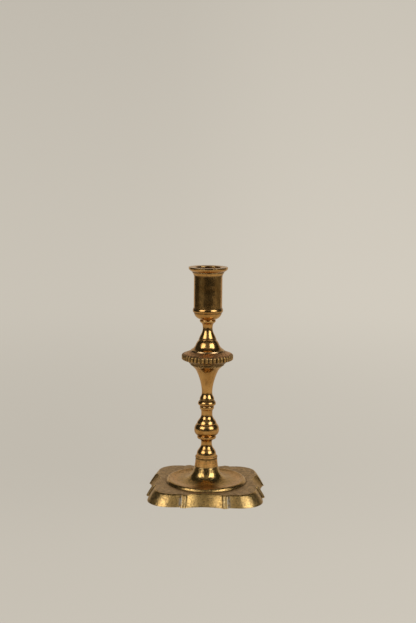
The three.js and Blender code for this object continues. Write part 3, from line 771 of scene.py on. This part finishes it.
def make_foot(finish):
    """The whole foot as one closed section swept round: skirt, plateau, round step, boss, underside."""
    place = Place("foot")
    width, flare, skirt = place.radius, 6.1, 9.9
    top_width = width - flare
    bottom = lobed_outline(width, 15.9, 3.6, 20)
    top = lobed_outline(top_width, 15.3, 5.4, 16.5)
    wall, dip = 3.0, 0.6
    angles = np.arctan2(top[:, 1], top[:, 0])
    unit = np.column_stack([np.cos(angles), np.sin(angles)])
    around = len(top)
    boss_top = place.height - SPIGOT
    step_radius, step = 35.9, 1.9
    seat = 14.0
    ceiling = skirt - wall

    rows, marks = [], {"wear": [], "grime_and_shade": [], "shine": [], "stain": [], "painted_highlight": []}

    def row(plan, z, *given):
        """One ring of points, with its marks in the order above and the rest of them at nothing."""
        rows.append(np.column_stack([plan, np.full(around, z)]))
        for label, value in zip(marks, given + (0.0,) * (len(marks) - len(given))):
            marks[label].append(np.full(around, value) if np.isscalar(value) else value)

    def between(rise, inward, inset=0.0):
        """The outline part of the way up the skirt, then part of the way in to the round step."""
        plan = bottom + (top - bottom) * rise
        plan = plan * (1 - inset / (width - flare * rise))
        return plan * (1 - inward) + unit * step_radius * inward

    # Creases in plan hold dirt, and the tips wear bright. The notches on the left and right sides are
    # darkened with painted shade, and the front and back notches get a pale grey painted highlight.
    ahead, behind = np.roll(bottom, -2, 0) - bottom, bottom - np.roll(bottom, 2, 0)
    bend = behind[:, 0] * ahead[:, 1] - behind[:, 1] * ahead[:, 0]
    bend = bend / (np.linalg.norm(ahead, axis=1) * np.linalg.norm(behind, axis=1))
    tips = np.clip(bend * 1.6, 0, 1)
    creases_and_shade = np.clip(-bend * 1.8, 0, 1)
    notch_middle, notch_reach = 20.6, 1.6
    notched = np.clip(notch_reach - np.abs(np.abs(bottom).min(axis=1) - notch_middle), 0, 1)
    sideways = np.abs(bottom[:, 0]) > np.abs(bottom[:, 1])
    painted_highlight = 0.9 * notched * ~sideways
    # Painted shade on the side notches joins the creases.
    creases_and_shade = np.maximum(creases_and_shade, 0.75 * notched * sideways)

    row(between(0, 0, 0.5), 0.0, 0.3, 0.3)
    row(between(0, 0, 0.12), 0.12, 0.6, 0.1, 0.4)
    row(between(0.02, 0), 0.45, 0.7, 0.0, 0.4)
    for t in np.linspace(0.07, 0.9, 20):
        belly = 0.3 * math.sin(math.pi * t)
        row(between(t, 0, -belly), skirt * t, tips * 0.8, creases_and_shade, 0.32, 0, painted_highlight)

    # The skirt's top edge turns over on to the plateau, which dips towards the round step.
    plateau = skirt - 0.03
    start = np.array([0.92, 0, 0.92 * skirt])
    corner = np.array([1.0, 0, skirt])
    end = np.array([1.0, 0.06, plateau])
    for t in np.linspace(0.08, 1, 8):
        rise, inward, z = (1 - t) ** 2 * start + 2 * t * (1 - t) * corner + t * t * end
        row(between(rise, inward), z, 0.2 * math.sin(math.pi * t), creases_and_shade * (1 - t), 0.6 * (1 - t**3))
    # Painted shade darkens the plateau just before the round step.
    for t in np.linspace(0.12, 0.97, 12):
        row(between(1, t), plateau - dip * t * t, 0, 0.15 * t**6)

    # The round step, the dish, the flare up to the boss, the spigot and the rod's hole, then the underside.
    step_top = skirt + step
    under_step = step_radius - 4
    spigot, spigot_top = 6, boss_top + SPIGOT
    pen = Moulding(step_radius, skirt - dip).line(step_radius, skirt - 0.4)
    pen.bow((step_radius - 0.1, skirt), (step_radius - 0.9, step_top - 0.9), 12)
    pen.bow((step_radius - 1.5, step_top), (step_radius - 3.0, step_top), 18)
    inner, falling = (step_radius - 4.8, step_top - 0.1), (step_radius - 6.5, step_top - 1.4)
    pen.sweep(inner, falling, (step_radius - 11, step_top - 1.3))
    pen.sweep((17.0, step_top - 0.9), (13.1, 14.4), (11.55, boss_top - 3.4))
    pen.bow((10.75, boss_top - 1), (10.45, boss_top), 8)
    pen.line(spigot, boss_top).line(spigot, spigot_top).line(ROD_HOLE, spigot_top).line(ROD_HOLE, seat)
    pen.line(7, seat).line(9, seat - 2).bow((11, ceiling + 1), (16, ceiling + 1), 6)
    pen.line(under_step, ceiling + 0.4)
    points, turns = soften(pen.points, 0.3, False)
    points, turns = refine(points, turns, 1.5, False)
    wear, grime_and_shade, _ = edge_marks(points, turns, False)
    # Painted shade: a dark line along the foot of the round step, where it rises from the plateau.
    grime_and_shade = np.maximum(grime_and_shade, np.exp(-np.linalg.norm(points - points[0], axis=1) / 0.7))

    # The step's edge is rubbed bright and so is the flare, and the dish between them is stained.
    for (radius, z), w, g in zip(points, wear, grime_and_shade):
        polish = 0.9 * math.exp(-(((radius - step_radius + 1.0) / 1.9) ** 4))
        stained = 0.0
        if z > step_top - 1.6:
            polish = max(polish, min(1.0, max(0.35, (22.0 - radius) / 8.0)))
            stained = 0.5 * math.exp(-(((radius - 29.0) / 4.5) ** 2))
        row(unit * radius, z, w * 0.6, g, polish, stained)

    underside_grime = 0.3
    inside = top * (1 - wall / top_width)
    for t in np.linspace(0.85, 0.1, 5):
        row(inside * (1 - t) + unit * under_step * t, ceiling - 0.3 * (1 - t), 0, underside_grime)
    for t in np.linspace(0.62, 0.0, 6):
        row(between(t, 0, wall), skirt * t, 0, underside_grime)

    vertices = np.vstack(rows) * MM + np.array([0, 0, place.base])
    marks = {label: np.concatenate(values) for label, values in marks.items()}
    foot = mesh_object("foot_cast", vertices, grid_faces(len(rows), around, True), marks)
    values = {"Size": 7 * MM, "Depth": 0.22 * MM, "True Below": 0.3 * MM, "Finish": finish}
    apply_tree(foot, casting_tree(), values)
    return foot


# ---------------------------------------------------------------- rod, nut and washers


def make_rod(finish):
    place = Place("tie_rod")
    radius, length = place.radius, place.height
    pen = Moulding(0, 0).line(radius - 0.5, 0).line(radius, 0.5)
    pen.line(radius, length - 0.5).line(radius - 0.5, length).line(0, length)
    fine = {"segments": 48, "edge": 0.05, "longest": 0.12}
    rod = turned("tie_rod_threaded", pen.points, place.base, on_axis=True, **fine)
    values = {"Pitch": 0.8 * MM, "Depth": 0.32 * MM, "Core": 0.9 * radius * MM}
    values.update({"Low End": place.base + 14 * MM, "High End": place.top - 8 * MM, "Finish": finish})
    apply_tree(rod, thread_tree(), values)
    return rod


def make_nut():
    """A hexagon with crowned ends and a countersunk hole."""
    place = Place("hex_nut")
    low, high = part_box("hex_nut")
    half = min(high[0] - low[0], high[1] - low[1]) / 2 / MM
    height = place.height
    hole, sunk, sunk_depth = 2.65, 3.0, 0.35
    crown_slope = math.tan(math.radians(28))
    around = 96
    angles = 2 * np.pi * np.arange(around) / around
    hexagon = half / np.cos((angles + np.pi / 6) % (np.pi / 3) - np.pi / 6)
    ends = (0, 0.2, 0.4, 0.6, 0.9)
    rows = []
    for z in (*ends, height / 2, *(height - z for z in reversed(ends))):
        crown = half - 0.25 + min(z, height - z) / crown_slope
        rows.append((np.minimum(hexagon, crown), z))
    for radius, z in ((sunk, height), (hole, height - sunk_depth), (hole, sunk_depth), (sunk, 0)):
        rows.append((np.full(around, radius), z))
    rings = [(r * np.cos(angles), r * np.sin(angles), np.full(around, z)) for r, z in rows]
    vertices = np.vstack([np.column_stack(ring) for ring in rings]) * MM + np.array([0, 0, place.base])
    nut = mesh_object("hex_nut_crowned", vertices, grid_faces(len(rows), around, True))
    nut.data.shade_flat()
    return nut


def make_foot_washer():
    place = Place("foot_washer")
    radius, height = place.radius, place.height
    pen = Moulding(ROD_HOLE, 0).line(radius, 0).line(radius, height).line(ROD_HOLE, height)
    return turned("foot_washer_rounded", pen.points, place.base, segments=96, edge=0.15)


def make_spring_washer():
    """A square-section ring, cut through by a leaning slit."""
    place = Place("spring_washer")
    inner, outer, height = ROD_HOLE, place.radius, place.height
    steps, slit, lean = 72, 0.35, 0.16
    open_turn = 2 * math.pi - slit
    section = [(inner, 0), (outer, 0), (outer, height), (inner, height)]
    vertices, faces = [], []
    for i in range(steps + 1):
        for radius, z in section:
            angle = slit / 2 + open_turn * i / steps + lean * (z / height - 0.5)
            x, y = radius * math.cos(angle), radius * math.sin(angle)
            vertices.append((x * MM, y * MM, z * MM + place.base))
    for i in range(steps):
        for j in range(4):
            k = (j + 1) % 4
            faces.append((4 * i + j, 4 * i + k, 4 * i + 4 + k, 4 * i + 4 + j))
    faces.append((3, 2, 1, 0))
    faces.append(tuple(4 * steps + j for j in range(4)))
    washer = mesh_object("spring_washer_split", vertices, faces)
    washer.data.flip_normals()
    washer.data.shade_flat()
    return washer


# ---------------------------------------------------------------- stage


def paper_material(name, paint, glow, shaded):
    """Matt paper that also glows a little, so that it stays evenly pale."""
    material = bpy.data.materials.new(name)
    material.use_nodes = True
    material.node_tree.nodes.clear()
    n = Nodes(material.node_tree)
    tone = n.attribute("tone")
    diffuse = n.add("ShaderNodeBsdfDiffuse")
    lit = colour(*(shaded * part for part in paint))
    n.feed(diffuse.inputs["Color"], n.blend(tone, colour(0, 0, 0), lit))
    light = n.add("ShaderNodeEmission")
    light.inputs["Color"].default_value = colour(*paint)
    n.feed(light.inputs["Strength"], n.times(tone, glow))
    both = n.add("ShaderNodeAddShader")
    n.feed(both.inputs[0], diffuse.outputs[0])
    n.feed(both.inputs[1], light.outputs[0])
    n.feed(n.add("ShaderNodeOutputMaterial").inputs["Surface"], both.outputs[0])
    return material


def make_stage():
    """A pale round studio sweep that the camera sees, and the smaller one that the brass reflects."""
    flat, bend, wall = 1.3, 0.9, 3.0
    # The tone paints light and shade on the sweep: darker round the stem, brighter on the far floor, fading
    # up the bend and the wall.
    near_tone, far_tone, bend_fade, wall_tone = 1.0, 1.17, 0.13, 0.86
    profile = []
    for share in np.linspace(0, 1, 27):
        ease = share * share * (3 - 2 * share)
        profile.append((flat * share, 0.0, near_tone + (far_tone - near_tone) * ease))
    for angle in np.linspace(0.1, math.pi / 2, 16):
        out, up = bend * math.sin(angle), 1 - math.cos(angle)
        profile.append((flat + out, bend * up, far_tone - bend_fade * up))
    profile.append((flat + bend, wall, wall_tone))
    around = 96
    vertices, tone = [(0, 0, 0)], [1.0]
    for radius, z, value in profile[1:]:
        for j in range(around):
            angle = 2 * math.pi * j / around
            x, y = radius * math.cos(angle), radius * math.sin(angle)
            vertices.append((x, y, z))
            # Painted light: a little lighter to the right and towards the front.
            sideways, forward = 0.05 * math.tanh(x / 0.2), 0.03 * min(1, max(0, -y / 0.15))
            tone.append(value * (1 + sideways + forward))
    faces = [(0, 1 + j, 1 + (j + 1) % around) for j in range(around)]
    for i in range(len(profile) - 2):
        for j in range(around):
            k = (j + 1) % around
            a, b = 1 + i * around, 1 + (i + 1) * around
            faces.append((a + k, a + j, b + j, b + k))
    sweep = mesh_object("studio_sweep", vertices, faces, {"tone": tone})
    sweep.data.materials.append(paper_material("pale_paper", (0.60, 0.557, 0.482), 0.86, 0.16))
    sweep.visible_glossy = False
    sweep.visible_diffuse = False
    sweep.visible_shadow = False

    # The reflected floor has a painted shadow close under the foot, and the wall behind it is painted to
    # fade upwards.
    left, right, front, back, high = -0.65, 0.75, -0.55, 0.35, 1.3
    curve, under_foot = 0.4, -0.0003
    floor_shade, shade_reach = 0.4, 0.11
    bends = np.linspace(0.15, math.pi / 2, 10)
    run = [(y, under_foot) for y in np.linspace(front, back, 24)]
    run += [(back + curve * math.sin(a), curve - curve * math.cos(a)) for a in bends]
    run += [(back + curve, z) for z in np.linspace(0.5, high, 9)]
    across = np.linspace(left, right, 24)
    vertices = [(x, y, z) for y, z in run for x in across]
    tone = []
    for x, y, z in vertices:
        near = floor_shade * math.exp(-((math.hypot(x, y) / shade_reach) ** 2))
        tone.append((1 - near) * min(1.0, max(0.1, 1.44 - 1.25 * z)))
    count = len(across)
    faces = []
    for i in range(len(run) - 1):
        for j in range(i * count, (i + 1) * count - 1):
            faces.append((j, j + 1, j + 1 + count, j + count))
    card = mesh_object("reflected_sweep", vertices, faces, {"tone": tone})
    card.data.materials.append(paper_material("reflected_paper", (0.62, 0.53, 0.41), 0.7, 0.5))
    card.visible_camera = False
    card.visible_diffuse = False
    card.visible_shadow = False


def make_lights():
    distance, aim = 1.35, Vector((0, 0, 0.1))

    def softbox(name, azimuth, elevation, width, height, glow, tint):
        """A lamp facing the stem from a turn to the right of the front and a height, in degrees."""
        light = bpy.data.lights.new(name, "AREA")
        light.shape = "RECTANGLE"
        light.size, light.size_y = width, height
        light.energy = glow * math.pi * width * height
        light.color = tint
        lamp = bpy.data.objects.new(name, light)
        a, e = math.radians(azimuth), math.radians(elevation)
        spot = Vector((math.sin(a) * math.cos(e), -math.cos(a) * math.cos(e), math.sin(e))) * distance
        lamp.location = spot + aim
        lamp.rotation_euler = spot.to_track_quat("Z", "Y").to_euler()
        lamp.visible_camera = False
        bpy.context.scene.collection.objects.link(lamp)

    softbox("softbox_left", -47, 32, 0.85, 0.78, 2.9, (1.0, 0.97, 0.95))
    softbox("softbox_right", 52, 32, 0.85, 0.78, 3.5, (1.0, 1.0, 1.0))
    softbox("overhead_fill", 3, 50, 0.9, 0.8, 0.13, (1.0, 0.93, 0.78))
    softbox("left_wall", -53, -4, 1.1, 0.5, 0.06, (1.0, 0.98, 0.82))
    softbox("right_wall", 92, -4, 1.7, 0.5, 0.09, (1.0, 0.9, 0.68))

    world = bpy.data.worlds.new("studio")
    bpy.context.scene.world = world
    world.use_nodes = True
    background = world.node_tree.nodes["Background"]
    background.inputs["Color"].default_value = colour(1.0, 0.98, 0.85)
    background.inputs["Strength"].default_value = 0.03


def make_camera():
    data = bpy.data.cameras.new("camera")
    data.sensor_width = 36.0
    data.lens = 61.4
    camera = bpy.data.objects.new("camera", data)
    sideways, distance, height = 0.0001, 0.9174, 0.2883
    around, down, roll = math.radians(1.4), math.radians(7.9), math.radians(0.6)
    stand = Euler((0, 0, around)).to_matrix()
    tilted = stand @ Euler((math.pi / 2 - down, 0, 0)).to_matrix()
    camera.location = stand @ Vector((sideways, -distance, height))
    camera.rotation_euler = (tilted @ Euler((0, 0, roll)).to_matrix()).to_euler()
    bpy.context.scene.collection.objects.link(camera)
    bpy.context.scene.camera = camera


# ---------------------------------------------------------------- the candlestick


def finish_piece(piece, node, material):
    """Gives a piece its finish, parents it to the body it rides on, and hides the CAD node it stands for.
    """
    piece.data.materials.clear()
    piece.data.materials.append(material)
    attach(piece, BODY)
    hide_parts(node)


def main():
    polished, cast, rough, steel = polished_brass(), cast_brass(), rough_brass(), plain_steel()
    make_camera()
    make_stage()
    make_lights()

    finish_piece(make_foot(cast), "foot", cast)
    collar = stacked("foot_collar", 6, 6, draw_collar, segments=240, longest=0.3)
    true_below = Place("foot_collar").base + 0.1 * MM
    values = {"Size": 0.9 * MM, "Depth": 0.22 * MM, "True Below": true_below, "Finish": rough}
    apply_tree(collar, casting_tree(), values)
    finish_piece(collar, "foot_collar", rough)
    # Each piece's recess fits the spigot of the one below.
    stem = [
        ("stem_bell", 6, 5.2, draw_stem_bell),
        ("ball_knop", 5.2, 5, draw_ball),
        ("waist_stem", 5, 4.3, draw_waist),
        ("trumpet_stem", 4.3, 6, draw_trumpet),
        ("shoulder_bell", 7, 4.7, draw_shoulder),
        ("upper_neck", 4.7, 4.3, draw_neck),
    ]
    for name, recess, spigot, draw in stem:
        finish_piece(stacked(name, recess, spigot, draw), name, polished)
    finish_piece(make_pan(cast), "drip_pan", cast)
    finish_piece(make_cup(), "candle_cup", polished)
    finish_piece(make_rod(steel), "tie_rod", steel)
    finish_piece(make_nut(), "hex_nut", steel)
    finish_piece(make_foot_washer(), "foot_washer", steel)
    finish_piece(make_spring_washer(), "spring_washer", steel)

    bpy.context.scene.view_settings.view_transform = "Standard"


main()
